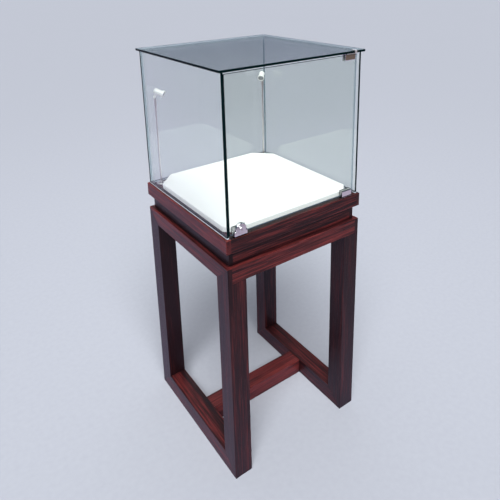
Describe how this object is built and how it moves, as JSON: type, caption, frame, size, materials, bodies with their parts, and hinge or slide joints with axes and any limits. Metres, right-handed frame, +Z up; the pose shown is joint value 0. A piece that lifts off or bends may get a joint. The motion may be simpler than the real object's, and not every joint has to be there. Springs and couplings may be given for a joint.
{
  "type": "glass display case on wooden stand",
  "caption": "Square glass showcase with a hinged, locking glass door and two adjustable lamps over a padded floor, on an open stained-wood stand.",
  "frame": {"origin": "on the floor under the centre of the stand, in the plane of the floor faces", "axes": "+Z up, the door faces -Y, the door's hinges are on the +X side"},
  "size_m": [0.453, 0.4545, 1.1458],
  "materials": {
    "stained_wood": "semi-gloss red-brown stained hardwood",
    "board": "bare board",
    "dowel_beech": "bare beech",
    "screw_steel": "bright steel",
    "clear_glass": "clear float glass with polished edges",
    "clear_adhesive": "clear bond line",
    "clear_silicone": "clear silicone bedding",
    "hinge_chrome": "polished chrome",
    "bolt_steel": "brushed",
    "clamp_liner": "translucent nylon liner",
    "lamp_metal": "satin silver",
    "lamp_white": "satin white",
    "lamp_lens": "frosted lens",
    "led_unit": "white reflector",
    "pad_cloth": "white pad cloth",
    "driver_case": "white",
    "lead_rubber": "black lead",
    "inlet_plastic": "black"
  },
  "bodies": {
    "case": {"apron_front": "stained_wood", "apron_left": "stained_wood", "apron_rear": "stained_wood", "apron_right": "stained_wood", "bottom_hinge_plate": "hinge_chrome", "cap_front": "stained_wood", "cap_left": "stained_wood", "cap_rear": "stained_wood", "cap_right": "stained_wood", "deck_board": "stained_wood", "dowels": "dowel_beech", "floor_rail_left": "stained_wood", "floor_rail_right": "stained_wood", "glass_back": "clear_glass", "glass_bedding": "clear_silicone", "glass_bond_seams": "clear_adhesive", "glass_left": "clear_glass", "glass_right": "clear_glass", "glass_top": "clear_glass", "hinge_pins": "screw_steel", "lamp_bases": "lamp_metal", "lamp_pole_left": "lamp_metal", "lamp_pole_right": "lamp_metal", "led_driver": "driver_case", "leg_front_left": "stained_wood", "leg_front_right": "stained_wood", "leg_rear_left": "stained_wood", "leg_rear_right": "stained_wood", "pad_board": "board", "pad_cover": "pad_cloth", "power_inlet": "inlet_plastic", "service_panel": "board", "stretcher": "stained_wood", "strike_plate": "hinge_chrome", "top_hinge_bracket": "hinge_chrome", "waist_cleats": "board", "waist_front": "stained_wood", "waist_left": "stained_wood", "waist_rear": "stained_wood", "waist_right": "stained_wood", "wiring": "lead_rubber", "wood_screws": "screw_steel"},
    "door": {"glass_door": "clear_glass", "top_hinge_clamp": "hinge_chrome", "bottom_hinge_clamp": "hinge_chrome", "clamp_liners": "clamp_liner", "clamp_screws": "screw_steel", "lock_body": "hinge_chrome"},
    "lock_cylinder": {"lock_cylinder": "hinge_chrome"},
    "lock_bolt": {"lock_bolt": "bolt_steel"},
    "lamp_left_swivel": {"lamp_knuckle_left": "lamp_metal"},
    "lamp_left_head": {"lamp_head_left": "lamp_white", "lamp_bezel_left": "lamp_white", "lamp_lens_left": "lamp_lens", "lamp_led_left": "led_unit"},
    "lamp_right_swivel": {"lamp_knuckle_right": "lamp_metal"},
    "lamp_right_head": {"lamp_head_right": "lamp_white", "lamp_bezel_right": "lamp_white", "lamp_lens_right": "lamp_lens", "lamp_led_right": "led_unit"}
  },
  "joints": [
    {"name": "door_swing", "type": "hinge", "parent": "case", "child": "door", "pos_m": [0.191, -0.2155, 0.936], "axis": [0, 0, 1], "range_deg": [0, 105]},
    {"name": "lock_turn", "type": "hinge", "parent": "door", "child": "lock_cylinder", "pos_m": [-0.181, -0.2225, 0.752], "axis": [0, 1, 0], "range_deg": [0, 180]},
    {"name": "lock_bolt_slide", "type": "slide", "parent": "door", "child": "lock_bolt", "axis": [0, 0, -1], "range_m": [0, 0.007]},
    {"name": "lamp_left_pan", "type": "hinge", "parent": "case", "child": "lamp_left_swivel", "pos_m": [-0.193, 0.193, 0.99], "axis": [0, 0, 1], "range_deg": [-50, 50]},
    {"name": "lamp_left_tilt", "type": "hinge", "parent": "lamp_left_swivel", "child": "lamp_left_head", "pos_m": [-0.193, 0.193, 1.003], "axis": [0.7071, 0.7071, 0], "range_deg": [-30, 60]},
    {"name": "lamp_right_pan", "type": "hinge", "parent": "case", "child": "lamp_right_swivel", "pos_m": [0.193, 0.193, 0.99], "axis": [0, 0, 1], "range_deg": [-50, 50]},
    {"name": "lamp_right_tilt", "type": "hinge", "parent": "lamp_right_swivel", "child": "lamp_right_head", "pos_m": [0.193, 0.193, 1.003], "axis": [0.7071, -0.7071, 0], "range_deg": [-30, 60]}
  ],
  "couplings": [
    {"joint": "lock_bolt_slide", "follows": "lock_turn", "m_per_rad": 0.0022282}
  ]
}
